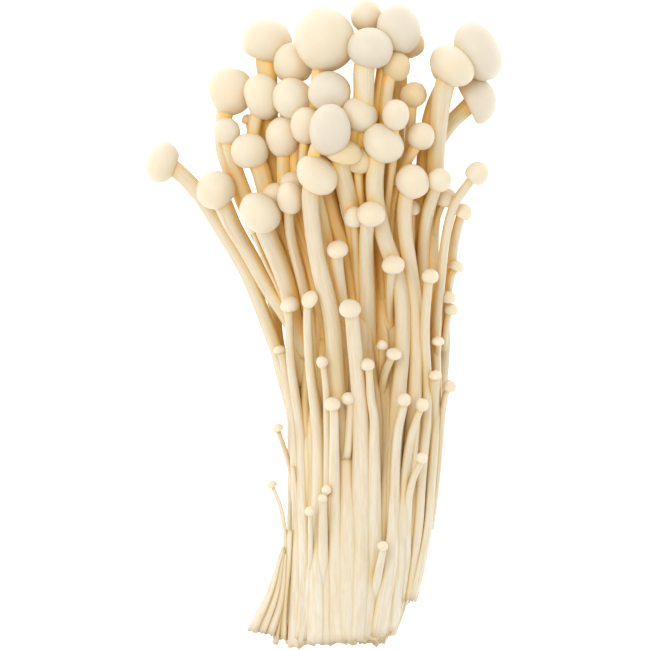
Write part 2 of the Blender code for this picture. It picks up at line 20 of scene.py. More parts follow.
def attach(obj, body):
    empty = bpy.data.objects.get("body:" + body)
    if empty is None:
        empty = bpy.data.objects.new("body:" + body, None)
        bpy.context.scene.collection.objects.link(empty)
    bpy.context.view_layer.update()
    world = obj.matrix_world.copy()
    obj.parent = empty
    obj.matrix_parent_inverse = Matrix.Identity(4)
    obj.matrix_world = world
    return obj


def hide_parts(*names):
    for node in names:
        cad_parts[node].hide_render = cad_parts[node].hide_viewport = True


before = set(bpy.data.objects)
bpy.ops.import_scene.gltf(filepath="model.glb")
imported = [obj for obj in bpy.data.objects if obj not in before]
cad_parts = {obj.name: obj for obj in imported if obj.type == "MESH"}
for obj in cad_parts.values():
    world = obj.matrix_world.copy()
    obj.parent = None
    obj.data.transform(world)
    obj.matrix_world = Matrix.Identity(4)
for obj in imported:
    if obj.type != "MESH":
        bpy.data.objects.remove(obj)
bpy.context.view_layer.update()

# The view, and how it is laid on the surface
BUNCH_LENGTH = 0.142
VIEW_LENGTH = 650.0
PIXEL = BUNCH_LENGTH / VIEW_LENGTH
CENTRE_X = 324.228
CENTRE_Y = 324.041
MM = 0.001

# The clump's rule, as in the solid
CAP_FACING = 34.0
SEED = 11
TWINNED_FROM = 12.0
TWINNED_WITHIN = 0.84
TWIN_DEPTHS = ((-1.14, 0.0, True), (-0.2, 0.16, False))
PULLED_WITHIN = 0.5
FLANK_DEPTHS = ((-0.6, 0.0, True), (-0.1, 0.0, True))
FLANK_TWINS = 2
FLANK_SIDE = 0.97
TWIN_SIZES = (0.74, 0.86)
FLATTENED = (0.8, 0.95)
FOOT_ROWS = (330, 430, 530)
FOOT_ENDS = (632, 646)
CLIPPED_ENDS = (598, 606)
FAR_BUTTONS = 16
BUTTON_LAYER = -1.12
BUTTON_SIZES = (6, 11)
BUTTON_ROWS = (225, 540)
CLIPPED_SIDE = 0.86
LOWEST_CAP = 0.84
TRIALS = 30
JOIN_ROW = 335.0
JOIN_PAST = 20
JOIN_LAYER = 0.45
JOIN_SIDE = 0.9
ROW_STEP = 62.0
LEAST_OVAL = 0.12
SINK_SPEED = 1.6
SINK_POWER = 0.9
ROUNDING_SPEED = 2.5
TWIN_TURN = 12
TWIN_SHIFT = 0.3
TWIN_DROP = 3
TWIN_STRAY = 1
TWIN_ROW_GAP = 30
TWIN_FOOT_STRAY = 0.04
TWIN_STEMS = (0.75, 0.9)
TWIN_TAPER = 0.8
TWIN_FEET = (11, 16)
BUTTON_SPREAD = 0.9
BUTTONS_LEAN_FROM = (345, 430)
BUTTON_TURN = 8
LONG_BUTTONS_FROM = JOIN_ROW - 60
BUTTON_STRIDE = 30
BUTTON_DROP = (45, 70)
BUTTON_STEM = 0.65
LEAST_BUTTON_STEM = 5.5
BUTTON_FOOT = 5
BROKEN_ABOVE = 590
BROKEN_LAYER = 1.16
STRAND_LAYER = 1.07


class Section(NamedTuple):
    """The clump across one row of the view: stem centre lines, pixels across, mm high."""

    row: float
    left: float
    right: float
    middle: float
    half: float


class Mushroom(NamedTuple):
    """One mushroom of the clump: pixels in the view, degrees anticlockwise, height in mm."""

    x: float
    y: float
    wide: float            # half the cap's width, across its axis
    tall: float            # half its height as seen, along its axis
    lean: float            # the way the cap points in the view
    height: float          # the cap's centre above the surface
    stem: float            # the stem's width under the cap
    foot: float            # its width at the other end
    to_foot: bool          # it can be followed down to the cut foot
    route: tuple           # where the stem runs, from under the cap


SECTIONS = (
    Section(0, 262, 480, 25.0, 15.0),
    Section(40, 240, 500, 24.5, 18.0),
    Section(100, 212, 490, 24.5, 20.0),
    Section(150, 205, 478, 24.0, 20.0),
    Section(200, 220, 464, 22.0, 18.5),
    Section(250, 240, 458, 19.8, 16.2),
    Section(300, 262, 450, 17.8, 14.4),
    Section(350, 279, 444, 16.4, 13.3),
    Section(400, 290, 442, 15.4, 12.6),
    Section(450, 295, 437, 14.6, 12.2),
    Section(500, 294, 432, 14.0, 12.0),
    Section(550, 291, 424, 13.4, 12.0),
    Section(600, 287, 408, 13.0, 12.0),
    Section(650, 285, 390, 12.7, 12.0),
)
SECTION_ROWS = [section.row for section in SECTIONS]

CROWN = (
    Mushroom(267.5, 40.5, 25.5, 21.5, 74, 26, 19, 14, False, ((265.5, 62), (268, 78), (268, 112))),
    Mushroom(
        231.5, 90.5, 24.5, 22.5, 24, 27, 18, 13, False,
        ((225, 112), (224, 150), (237, 187), (252, 222)),
    ),
    Mushroom(227, 131, 13.5, 13, 80, 31, 13, 10, False, ((229, 146), (238, 175), (252, 210))),
    Mushroom(
        263.5, 97, 23.5, 18.5, 20, 31, 15, 11, False,
        ((256, 118), (253, 150), (262, 185), (272, 215)),
    ),
    Mushroom(
        293, 99.5, 22, 19.5, 42, 34, 15, 11, False,
        ((288, 120), (293, 150), (296, 180), (300, 215)),
    ),
    Mushroom(293.5, 62.5, 20, 20.5, 95, 30, 15, 11, False, ((295, 84), (296, 120))),
    Mushroom(326.3, 40, 32, 29, 25, 35.5, 16, 12, False, ((319, 74), (316, 110))),
    Mushroom(366, 15.5, 15.5, 15.5, 85, 32, 13, 10, False, ((364, 33), (362, 90))),
    Mushroom(370, 48.5, 23, 20, 82, 40, 20, 15, False, ((364, 68), (363.5, 92), (362, 120))),
    Mushroom(399.5, 29.7, 25, 20.5, 20, 35, 15, 12, False, ((388, 50), (381, 90))),
    Mushroom(412, 44, 13, 13, 20, 27, 10, 8, False, ((404, 58), (399, 110))),
    Mushroom(396, 67, 14, 14.5, 80, 36.5, 15, 11, False, ((388, 82), (384.5, 120), (386, 150))),
    Mushroom(413.5, 95, 13, 12.5, 120, 33, 10, 9, False, ((411, 112), (409, 150))),
    Mushroom(395.5, 115.5, 13.5, 15, 85, 42, 10, 8, False, ((394, 132), (392, 165))),
    Mushroom(
        421, 136.3, 13.5, 13.5, 70, 37, 11, 9, False,
        ((414, 150), (404, 166), (394, 192), (390, 215)),
    ),
    Mushroom(360, 115, 19, 15.5, 50, 40, 14, 10, False, ((354, 132), (352, 170))),
    Mushroom(
        329.5, 92, 21.5, 20, 60, 39, 18, 15, False,
        ((326, 115), (322, 160), (332, 215), (348, 258), (355, 310), (357, 350)),
    ),
    Mushroom(330, 130, 20.5, 25, 90, 45, 13, 9, False, ((316, 150), (313, 175), (322, 215))),
    Mushroom(306, 126, 15.5, 18, 92, 38, 9, 8, False, ((304, 145), (303, 175))),
    Mushroom(282.7, 137.2, 17, 19.8, 95, 34, 15, 12, False, ((283.5, 157), (284, 175), (286, 200))),
    Mushroom(
        383, 143.5, 22, 17.5, 50, 41, 18, 11, True,
        ((376, 163), (375, 198), (383, 235), (397, 275), (402, 300), (402, 350), (397, 410),
         (394, 470), (393, 550), (386, 600), (380, 634)),
    ),
    Mushroom(
        452, 65.7, 24, 18, 55, 34, 19, 13, False,
        ((445, 84), (440.5, 104), (436, 150), (434.5, 190), (431, 240), (432, 330)),
    ),
    Mushroom(
        478.8, 51.4, 31, 21, 28, 28, 15, 12, False,
        ((456, 68), (440, 90), (430, 115), (424.5, 150), (421, 190)),
    ),
    Mushroom(
        473, 101, 24.5, 24, 27, 25, 16, 12, False,
        ((464, 110), (449, 125), (436, 146), (428, 190)),
    ),
    Mushroom(
        161.5, 162, 21, 15.5, 160, 24, 17, 13, False,
        ((176, 170), (200, 195), (221, 228), (247, 274), (266, 322), (279, 358), (290, 395),
         (300, 430)),
    ),
    Mushroom(
        215.5, 189.5, 19.5, 18.3, 120, 31, 19, 14, False,
        ((224, 206), (232, 224), (247, 250), (269, 290), (291, 324), (301, 355), (304, 385)),
    ),
    Mushroom(249.7, 150.3, 18.7, 17.3, 95, 33, 18, 13, False, ((259, 166), (266, 190), (278, 225))),
    Mushroom(
        260.7, 212.7, 22.3, 17.8, 47, 37, 22, 18, False,
        ((266, 232), (277, 258), (288, 288), (295, 325)),
    ),
    Mushroom(252, 229, 6, 6, 110, 31, 5, 4, False, ((255, 237), (264, 260), (276, 285))),
    Mushroom(247.5, 120, 6, 6, 90, 27, 5, 4, False, ((249, 128), (253, 150), (262, 190))),
    Mushroom(
        317.3, 175.2, 22.5, 16, 48, 43, 16, 17, True,
        ((310.5, 192), (313, 230), (320, 270), (331, 315), (334.5, 350), (337, 385), (341.5, 420),
         (344, 460), (346, 520), (347, 580), (346, 642)),
    ),
    Mushroom(
        290, 198, 13, 15.8, 95, 38, 11, 11, False,
        ((289, 214), (291, 236), (302, 281), (311, 320), (318, 375)),
    ),
    Mushroom(291.5, 184, 12, 12, 92, 33, 8, 6, False, ((292, 197), (294, 215))),
    Mushroom(275, 195, 13, 12, 100, 32, 9, 7, False, ((277, 208), (281, 230))),
    Mushroom(
        343, 153.5, 19, 13, 80, 42, 20, 15, False,
        ((341, 167), (346, 190), (352, 215), (358, 250)),
    ),
    Mushroom(359, 161.5, 13, 12, 80, 40, 10, 8, False, ((358, 173), (360, 200))),
    Mushroom(
        371, 214, 14.3, 12.3, 85, 41, 13, 17, False,
        ((367, 226), (366, 250), (367, 290), (368, 330), (370, 370)),
    ),
    Mushroom(354, 218, 10.5, 11.5, 90, 37.5, 9, 9, False, ((355, 230), (357, 262), (360, 300))),
    Mushroom(
        337.5, 249.8, 10.8, 9.5, 100, 37, 12, 12, False,
        ((337, 260), (340, 285), (344, 320), (346, 360)),
    ),
    Mushroom(
        412.6, 182, 17.5, 15.8, 42, 38, 15, 15, True,
        ((406, 195), (404, 225), (410, 270), (415, 310), (415, 380), (411, 440), (402, 520),
         (389, 632)),
    ),
    Mushroom(
        439.3, 180, 12, 11.8, 70, 37, 13, 12, False,
        ((434, 191), (425.5, 222), (423, 260), (425, 330)),
    ),
    Mushroom(393, 179, 8.5, 8.5, 90, 34, 6, 6, False, ((392, 188), (391, 210))),
    Mushroom(412, 209, 8, 8, 90, 32, 6, 6, False, ((412, 218), (412, 240))),
    Mushroom(446, 199, 11, 11, 80, 30, 7, 7, False, ((440, 210), (434, 235), (434, 265))),
    Mushroom(
        476.5, 174, 11.5, 12.8, 50, 34, 9, 12, True,
        ((468, 184), (454, 205), (446, 235), (441, 280), (436, 340), (437, 400), (432, 475),
         (426, 540), (413, 600)),
    ),
    Mushroom(462, 213.5, 9.5, 10.5, 60, 29, 9, 9, False, ((459, 222), (454, 245), (450, 280))),
    Mushroom(456, 267.5, 8.5, 7.5, 70, 23, 8, 6, False, ((451, 275), (447, 300))),
)

BUTTONS = (
    Mushroom(
        279.8, 351, 6.3, 5.5, 95, 21, 9, 15, True,
        ((283, 357), (288.5, 389), (292.5, 423), (295, 460), (297, 500), (297, 560), (295, 648)),
    ),
    Mushroom(
        289.8, 305, 9.5, 8.2, 100, 29, 8, 14, True,
        ((289.3, 313), (290.5, 356), (293.5, 383), (299, 422), (302, 460), (302, 500), (304, 560),
         (307, 645)),
    ),
    Mushroom(
        309.8, 299.5, 9.6, 7.6, 145, 33, 8.5, 17, True,
        ((307.5, 310), (308.5, 343), (310.5, 370), (315.5, 409), (318.5, 440), (319, 480), (318, 530),
         (318, 580), (317, 644)),
    ),
    Mushroom(
        350, 309, 11, 9.7, 90, 37, 13, 19, True,
        ((351.5, 318), (354, 345), (357, 375), (359.5, 405), (361, 440), (361.5, 480), (361, 530),
         (358, 590), (354, 641)),
    ),
    Mushroom(
        322.3, 362.3, 6, 6.2, 130, 32, 6, 13, True,
        ((323.5, 368), (326, 390), (327.5, 425), (328, 470), (328, 520), (327, 580), (328, 644)),
    ),
    Mushroom(
        367.5, 364.7, 7.2, 6.5, 90, 33.5, 8, 16, True,
        ((368.8, 371), (370.5, 396), (374, 420), (374, 450), (374, 500), (374, 560), (369, 600),
         (365, 639)),
    ),
    Mushroom(393, 265, 11.5, 9.5, 90, 37, 9, 7, False, ((391, 275), (390, 310), (394, 350))),
    Mushroom(
        430, 276.5, 8.5, 7.5, 85, 34, 9, 13, True,
        ((428, 286), (425, 330), (427, 400), (421, 480), (418, 530), (409, 600)),
    ),
    Mushroom(438, 342, 6.5, 5.8, 90, 26, 6, 9, False, ((438, 349), (434, 366), (432, 385))),
    Mushroom(449, 298, 7, 7, 85, 24, 6, 6, False, ((448, 306), (446, 330))),
    Mushroom(451.5, 310, 6.8, 6.8, 80, 23, 6, 6, False, ((448, 318), (444, 350))),
    Mushroom(382, 346, 5.5, 6, 90, 30, 6, 6, False, ((382, 353), (382, 385), (383, 420))),
    Mushroom(394, 354, 7.7, 6, 85, 32, 7, 11, False, ((391, 359), (385, 373), (382, 393), (381, 425))),
    Mushroom(
        435.5, 376, 6.5, 5.6, 95, 27, 9, 12, False,
        ((435, 381), (434, 410), (434, 450), (431, 490)),
    ),
    Mushroom(
        332.3, 404, 8.3, 7, 90, 32, 8, 16, True,
        ((334, 412), (334.3, 450), (334.5, 520), (336, 580), (337.5, 643)),
    ),
    Mushroom(
        348.3, 398.5, 7, 6.5, 95, 31, 7.5, 7.5, True,
        ((350.5, 406), (349.5, 425), (347.5, 450), (346, 459)),
    ),
    Mushroom(
        403.7, 400, 7.2, 7, 85, 31, 7.5, 12, True,
        ((403, 408), (398, 430), (395.5, 460), (394, 520), (392, 560), (388, 600), (384, 634)),
    ),
    Mushroom(
        421.8, 405, 6.9, 6.9, 70, 29, 7.5, 15, True,
        ((419, 412), (411, 436), (406, 470), (403, 510), (400, 560), (396, 598), (391, 632)),
    ),
    Mushroom(
        449.8, 386.8, 7, 6.8, 75, 22, 7, 9, False,
        ((446, 394), (442.5, 420), (438, 475), (431, 530)),
    ),
    Mushroom(
        277.5, 429.5, 6.5, 5.5, 115, 20, 5.5, 7, False,
        ((279.5, 435), (286, 455), (291, 475), (295, 505)),
    ),
    Mushroom(
        271.7, 486, 5.8, 5.2, 115, 18, 4.5, 9, True,
        ((274, 491), (281, 510), (285, 540), (284, 580), (279, 618), (275, 644)),
    ),
    Mushroom(326.6, 490, 5, 5, 90, 28.3, 5, 5, False, ((327, 495), (327, 515))),
    Mushroom(
        322.7, 498.5, 4.7, 4.7, 95, 29, 7, 12, True,
        ((323, 504), (323, 545), (324, 590), (326, 644)),
    ),
    Mushroom(
        310, 511.3, 5.3, 5, 90, 28, 4.5, 4.5, True,
        ((310.4, 517), (310.5, 545), (310, 590), (309, 643)),
    ),
    Mushroom(
        421.7, 458.3, 5.8, 5.8, 70, 28, 6, 12, True,
        ((420, 464), (413.5, 478), (409, 497), (407, 525), (406, 560), (402, 600)),
    ),
    Mushroom(
        382.7, 546, 5.2, 5.2, 85, 29, 5.5, 10, True,
        ((382.5, 552), (378, 575), (374, 605), (371, 638)),
    ),
)

# Broken strands of the foot, without caps: width at the top and at the foot, and the route
STRANDS = (
    (4, 15, ((283, 548), (270, 592), (252, 632))),
    (4, 15, ((284, 550), (275, 595), (260, 633))),
    (5, 15, ((285, 554), (280, 600), (269, 635))),
    (5, 9, ((293, 467), (296, 490), (300, 520), (303, 560), (305, 640))),
    (5, 9, ((305, 573), (302, 600), (299, 640))),
    (6, 10, ((310, 563), (307, 600), (303, 644))),
    (7, 10, ((290, 531), (288, 565), (284, 604), (283, 640))),
    (5, 6, ((344.5, 400), (345.5, 430), (347, 466))),
    (8, 15, ((395, 440), (394, 500), (391, 560), (384, 600), (377, 636))),
)


def section_at(row):
    """The clump's section at a row, straight between the two that are given around it."""
    after = min(max(bisect.bisect(SECTION_ROWS, row), 1), len(SECTIONS) - 1)
    low, high = SECTIONS[after - 1], SECTIONS[after]
    part = min(max((row - low.row) / (high.row - low.row), 0.0), 1.0)
    return Section(*(a + (b - a) * part for a, b in zip(low, high)))


def across(section, x):
    """How far a pixel lies from the section's middle: 0 there, 1 at its side."""
    half_width = (section.right - section.left) / 2
    return (x - section.left - half_width) / half_width


def level(section, x, layer, roundness):
    """Height in mm of a layer, 1 on the front and -1 on the back, over an oval section."""
    side = min(abs(across(section, x)), 1.0)
    oval = 1 + (math.sqrt(max(1 - side**2, LEAST_OVAL)) - 1) * roundness
    return section.middle + layer * section.half * oval


def place(x, y, height):
    """A point of the view, with its height in mm, as a place in metres."""
    return Vector(((x - CENTRE_X) * PIXEL, (CENTRE_Y - y) * PIXEL, height * MM))


def stem_line(mushroom):
    """The stem's points from inside its cap down to the foot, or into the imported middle."""
    own = section_at(mushroom.y)
    top_layer = (mushroom.height - own.middle) / own.half
    points = [(mushroom.x, mushroom.y), *mushroom.route]
    end_layer = math.copysign(1.0 if mushroom.to_foot else JOIN_LAYER, top_layer)
    if mushroom.to_foot and points[-1][1] < BROKEN_ABOVE:
        end_layer = BROKEN_LAYER
    x, y = points[-1]
    side = across(section_at(y), x)
    while not mushroom.to_foot and y < JOIN_ROW:
        y = min(y + ROW_STEP, JOIN_ROW + JOIN_PAST)
        here = section_at(y)
        points.append((here.left + (here.right - here.left) * (1 + side * JOIN_SIDE) / 2, y))
    last = points[-1][1]
    line = []
    for x, y in points:
        down = max(y - mushroom.y, 0.0) / max(last - mushroom.y, 1.0)
        blend = min(down * SINK_SPEED, 1.0) if mushroom.to_foot else down**SINK_POWER
        layer = top_layer + (end_layer - top_layer) * blend
        roundness = min(down * ROUNDING_SPEED, 1.0)
        line.append(place(x, y, level(section_at(y), x, layer, roundness)))
    line[0].z = mushroom.height * MM
    return line


def gap_to_others(x, y, height, wide, others):
    """The least clear distance, in pixels, between a cap and the caps already placed."""
    here = Vector((x, y, height * MM / PIXEL))
    return min(
        (here - Vector((other.x, other.y, other.height * MM / PIXEL))).length - wide - other.wide
        for other in others
    )


def far_height(x, y, layer, wide):
    """The height of a far cap: on its layer, and clear of the surface."""
    return max(level(section_at(y), x, layer, 0.2), wide * PIXEL / MM * LOWEST_CAP)


def far_twin(draw, front, layer, pull, to_foot, side_end=None):
    """A mushroom right behind one that shows: smaller, with its stem along nearly the same way."""
    wide = front.wide * draw.uniform(*TWIN_SIZES)
    tall = wide * draw.uniform(*FLATTENED)
    lean = front.lean + draw.uniform(-TWIN_TURN, TWIN_TURN)
    here = section_at(front.y)
    middle = (here.left + here.right) / 2
    drawn_in = (middle - front.x) * (pull if abs(across(here, front.x)) < PULLED_WITHIN else 0.0)
    x = front.x + drawn_in * TWIN_SHIFT
    y = front.y + draw.uniform(0, TWIN_DROP)
    route = []
    for point_x, point_y in front.route:
        if point_y < FOOT_ROWS[0]:
            route.append((point_x + drawn_in + draw.uniform(-TWIN_STRAY, TWIN_STRAY), point_y))
    if to_foot:
        side = across(section_at(route[-1][1]), route[-1][0])
        if side_end is not None:
            side = side_end
        side = min(max(side, -FLANK_SIDE), FLANK_SIDE)
        foot = draw.uniform(*(CLIPPED_ENDS if side > CLIPPED_SIDE else FOOT_ENDS))
        for row in (*FOOT_ROWS, foot):
            if row > route[-1][1] + TWIN_ROW_GAP:
                there = section_at(row)
                stray = draw.uniform(-TWIN_FOOT_STRAY, TWIN_FOOT_STRAY)
                strayed = side + stray * (1 - abs(side))
                route.append((there.left + (there.right - there.left) * (1 + strayed) / 2, row))
    stem = front.stem * draw.uniform(*TWIN_STEMS)
    foot_width = draw.uniform(*TWIN_FEET) if to_foot else stem * TWIN_TAPER
    return Mushroom(
        x, y, wide, tall, lean, far_height(x, y, layer, wide), stem, foot_width, to_foot, tuple(route)
    )


def far_button(draw):
    """One small mushroom on the far side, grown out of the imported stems."""
    wide = draw.uniform(*BUTTON_SIZES)
    y = draw.uniform(*BUTTON_ROWS)
    here = section_at(y)
    half_width = (here.right - here.left) / 2
    x = here.left + half_width + draw.uniform(-BUTTON_SPREAD, BUTTON_SPREAD) * (half_width - wide)
    from_x, from_y = BUTTONS_LEAN_FROM
    lean = math.degrees(math.atan2(from_y - y, x - from_x)) + draw.uniform(-BUTTON_TURN, BUTTON_TURN)
    away = math.radians(lean)
    under = (x - math.cos(away) * wide, y + math.sin(away) * wide)
    route = [under]
    if y > LONG_BUTTONS_FROM:
        down = draw.uniform(*BUTTON_DROP)
        route.append((under[0] - math.cos(away) * BUTTON_STRIDE, under[1] + down))
    height = far_height(x, y, BUTTON_LAYER, wide)
    tall = wide * draw.uniform(*FLATTENED)
    stem = max(wide * BUTTON_STEM, LEAST_BUTTON_STEM)
    return Mushroom(x, y, wide, tall, lean, height, stem, BUTTON_FOOT, False, tuple(route))


def far_mushrooms():
    """The far side of the clump, by rule: a twin behind each grown cap that shows, then buttons."""
    draw = random.Random(SEED)
    fronts = [
        one for one in CROWN
        if one.wide >= TWINNED_FROM and abs(across(section_at(one.y), one.x)) < TWINNED_WITHIN
    ]
    fronts.sort(key=lambda one: one.x)
    placed = list(CROWN + BUTTONS)
    shown = len(placed)
    for i, front in enumerate(fronts):
        placed.append(far_twin(draw, front, *TWIN_DEPTHS[i % len(TWIN_DEPTHS)]))
    for depth in FLANK_DEPTHS:
        for front in fronts[:FLANK_TWINS]:
            placed.append(far_twin(draw, front, *depth, -FLANK_SIDE))
        for front in fronts[-FLANK_TWINS:]:
            placed.append(far_twin(draw, front, *depth, FLANK_SIDE))
    for _ in range(FAR_BUTTONS):
        trials = [far_button(draw) for _ in range(TRIALS)]
        roomiest = max(
            trials, key=lambda one: gap_to_others(one.x, one.y, one.height, one.wide, placed)
        )
        placed.append(roomiest)
    return placed[shown:]


# Fine shape of a cap: half-outline from the crown over the rim to the stem, as parts of its size
CAP_OUTLINE = (
    (0.0, 1.0), (0.27, 0.965), (0.52, 0.86), (0.73, 0.69), (0.88, 0.47), (0.97, 0.23), (1.0, -0.02),
    (0.97, -0.3), (0.885, -0.56), (0.745, -0.77), (0.585, -0.9), (0.455, -0.92), (0.38, -0.81),
    (0.345, -0.64), (0.0, -0.57),
)
BUTTON_OUTLINE = (
    (0.0, 1.0), (0.27, 0.965), (0.52, 0.86), (0.73, 0.69), (0.88, 0.47), (0.97, 0.22), (1.0, -0.05),
    (0.98, -0.28), (0.91, -0.45), (0.78, -0.57), (0.62, -0.62), (0.48, -0.6), (0.4, -0.5), (0.36, -0.4),
    (0.0, -0.35),
)
OPEN_OUTLINE = (
    (0.0, 1.0), (0.27, 0.965), (0.52, 0.86), (0.73, 0.69), (0.88, 0.47), (0.97, 0.24), (1.0, 0.04),
    (0.985, -0.13), (0.92, -0.25), (0.8, -0.29), (0.64, -0.24), (0.49, -0.15), (0.39, -0.09),
    (0.34, -0.04), (0.0, 0.0),
)
GILLS_FROM = 9             # the outline's point where the gills begin
GILL_DEPTH = 0.018
LUMP_SIZE = 0.05
LUMP_GRAINS = ((0.9, 1.0), (2.6, 0.3))     # how fine, and how strong
LUMP_SPACING = 7.3
LEAST_TALL = 0.62
UNDERSIDE_FROM = 0.62      # where the painted ochre shade of the underside begins, from crown to stem
UNDERSIDE_OVER = 0.2
PLAIN_TONES = (0, 0.6)
GREY_TONE = 1.0
# The tone below paints ochre shadow on the caps that lie in shadow
SHADOW_TONE = -1.0
OPEN_CAPS = (
    (473, 101), (343, 153.5), (462, 213.5), (456, 267.5), (279.8, 351), (277.5, 429.5), (271.7, 486),
    (382, 346), (438, 342), (435.5, 376),
)
GREY_CAPS = ((330, 130), (370, 48.5), (399.5, 29.7), (478.8, 51.4), (473, 101), (329.5, 92))
# Caps that lie in shadow under their neighbours, painted with ochre shadow
SHADOWED_CAPS = ((396, 67), (412, 44), (413.5, 95), (343, 153.5), (359, 161.5), (247.5, 120))
SHELL_MERGE = 1e-7


def smooth_between(points, times, moment):
    """A point of the smooth curve through the points, at a moment along it."""
    after = min(max(bisect.bisect(times, moment), 1), len(times) - 1)
    a, b = after - 1, after
    span = times[b] - times[a]
    part = (moment - times[a]) / span

    def slope(i):
        low, high = max(i - 1, 0), min(i + 1, len(points) - 1)
        return (points[high] - points[low]) * (span / (times[high] - times[low]))

    square, cube = part * part, part * part * part
    return (
        points[a] * (2 * cube - 3 * square + 1)
        + slope(a) * (cube - 2 * square + part)
        + points[b] * (3 * square - 2 * cube)
        + slope(b) * (cube - square)
    )


def smooth_line(points, spacing):
    """Points a given distance apart on the smooth curve through a few points, and its length."""
    times = [0.0]
    for before, after in zip(points, points[1:]):
        times.append(times[-1] + (after - before).length)
    count = max(math.ceil(times[-1] / spacing), 6)
    line = [smooth_between(points, times, times[-1] * i / count) for i in range(count + 1)]
    return line, times[-1]


def smooth_outline(outline, rings):
    """A cap's half-outline, out and up, at each ring of the ball that is shaped to it."""
    steps = len(outline) - 1
    corners = [Vector(corner) for corner in outline]
    times = list(range(steps + 1))
    points = [smooth_between(corners, times, steps * ring / rings) for ring in range(rings + 1)]
    return [(max(point.x, 0.0), point.y) for point in points]


def turned_to(direction):
    """A turn that carries +Z onto a direction."""
    return Vector(direction).to_track_quat("Z", "Y").to_matrix().to_4x4()


def cap_axis(mushroom):
    """The way the cap points: its lean in the view, and towards the viewer if it is on the front."""
    own = section_at(mushroom.y)
    facing = math.radians(CAP_FACING) * (mushroom.height - own.middle) / own.half
    lean = math.radians(mushroom.lean)
    level_part = math.cos(facing)
    axis = Vector((math.cos(lean) * level_part, math.sin(lean) * level_part, math.sin(facing)))
    return axis, facing


def new_mesh_builder():
    """A mesh in the making, with the values that the finishes read at each vertex."""
    builder = bmesh.new()
    layers = builder.verts.layers
    layers.float_vector.new("fibre")
    layers.float.new("tone_and_shadow")
    layers.float.new("cut_wear_and_under_shade")
    return builder


def finished_piece(name, builder, finish):
    """Closes seams, presses flat what lies on the surface, and stands in for the solid's node."""
    for vert in builder.verts:
        vert.co.z = max(vert.co.z, 0.0)
    bmesh.ops.remove_doubles(builder, verts=builder.verts, dist=SHELL_MERGE)
    bmesh.ops.recalc_face_normals(builder, faces=builder.faces)
    for face in builder.faces:
        face.smooth = True
    mesh = bpy.data.meshes.new(name)
    builder.to_mesh(mesh)
    builder.free()
    mesh.materials.append(finish)
    piece = bpy.data.objects.new(name, mesh)
    bpy.context.scene.collection.objects.link(piece)
    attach(piece, "root")
    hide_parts("enoki_bunch")
    return piece


def plain_ball(around, rings):
    """A ball with the same faces as every cap of one piece."""
    builder = new_mesh_builder()
    bmesh.ops.create_uvsphere(builder, u_segments=around, v_segments=rings, radius=1)
    ball = bpy.data.meshes.new("plain_ball")
    builder.to_mesh(ball)
    builder.free()
    return ball


def grow_cap(builder, mushroom, number, ball, around, rings):
    """One button cap: a slightly uneven dome, its rim drawn in, with fine gills under it."""
    axis, facing = cap_axis(mushroom)
    seen_tall = mushroom.tall**2 - (mushroom.wide * math.sin(facing)) ** 2
    tall = max(math.sqrt(max(seen_tall, 0.0)) / math.cos(facing), mushroom.wide * LEAST_TALL)
    size = Matrix.Diagonal((mushroom.wide * PIXEL, mushroom.wide * PIXEL, tall * PIXEL, 1))
    centre = place(mushroom.x, mushroom.y, mushroom.height)
    to_place = Matrix.Translation(centre) @ turned_to(axis) @ size
    grown = len(builder.verts)
    builder.from_mesh(ball)
    builder.verts.ensure_lookup_table()
    outline = BUTTON_OUTLINE if mushroom.wide < TWINNED_FROM else CAP_OUTLINE
    if (mushroom.x, mushroom.y) in OPEN_CAPS:
        outline = OPEN_OUTLINE
    outline = smooth_outline(outline, rings)
    gills_from = GILLS_FROM / (len(CAP_OUTLINE) - 1)
    draw = random.Random(number)
    tone_and_shadow = draw.uniform(*PLAIN_TONES)
    if (mushroom.x, mushroom.y) in GREY_CAPS:
        tone_and_shadow = GREY_TONE
    # caps that lie in shadow get the tone for painted ochre shadow
    if (mushroom.x, mushroom.y) in SHADOWED_CAPS:
        tone_and_shadow = SHADOW_TONE
    seat = Vector((number * LUMP_SPACING, 0, 0))
    layers = builder.verts.layers
    for vert in builder.verts[grown:]:
        ring = round(math.acos(max(min(vert.co.z, 1.0), -1.0)) / math.pi * rings)
        part = ring / rings
        turn = math.atan2(vert.co.y, vert.co.x)
        out, up = outline[ring]
        if part > gills_from:
            gill = round(turn / math.tau * around) % 2
            up += GILL_DEPTH * gill * math.sin((part - gills_from) / (1 - gills_from) * math.pi)
        shape = Vector((math.cos(turn) * out, math.sin(turn) * out, up))
        lump = sum(share * noise.noise(shape * grain + seat) for grain, share in LUMP_GRAINS)
        shape *= 1 + LUMP_SIZE * lump
        vert.co = to_place @ shape
        vert[layers.float_vector["fibre"]] = shape
        vert[layers.float["tone_and_shadow"]] = tone_and_shadow
        # On a cap this slot marks the underside for painted ochre shade; on a stem it marks the worn
        # cut.
        vert[layers.float["cut_wear_and_under_shade"]] = min(max((part - UNDERSIDE_FROM) / UNDERSIDE_OVER, 0.0), 1.0)


# Packed stems press each other flat, more so towards the foot
PACKED_FROM = 360.0
PACKED_OVER = 200.0
PRESSED_WIDE = 1.34
PRESSED_FLAT = 0.74
RIB_DEPTH = 0.045
FINE_RIBS = 0.45
GROOVES = (5, 6, 7)
OVALS = (0.03, 0.1)
SWELL_SIZE = 0.07
SWELL_GRAIN = 0.09
LEAST_HIGH = 0.05
RAGGED_FROM = 0.985
RAGGED_GRAIN = 1200
RAGGED_SIZE = 0.0012
WORN_LENGTH = 0.004


def outward(point):
    """The way out of the clump at a place, across its section."""
    here = section_at(CENTRE_Y - point.y / PIXEL)
    side = across(here, point.x / PIXEL + CENTRE_X)
    high = (point.z / MM - here.middle) / here.half
    return Vector((side, 0, high if abs(high) > LEAST_HIGH else LEAST_HIGH)).normalized()


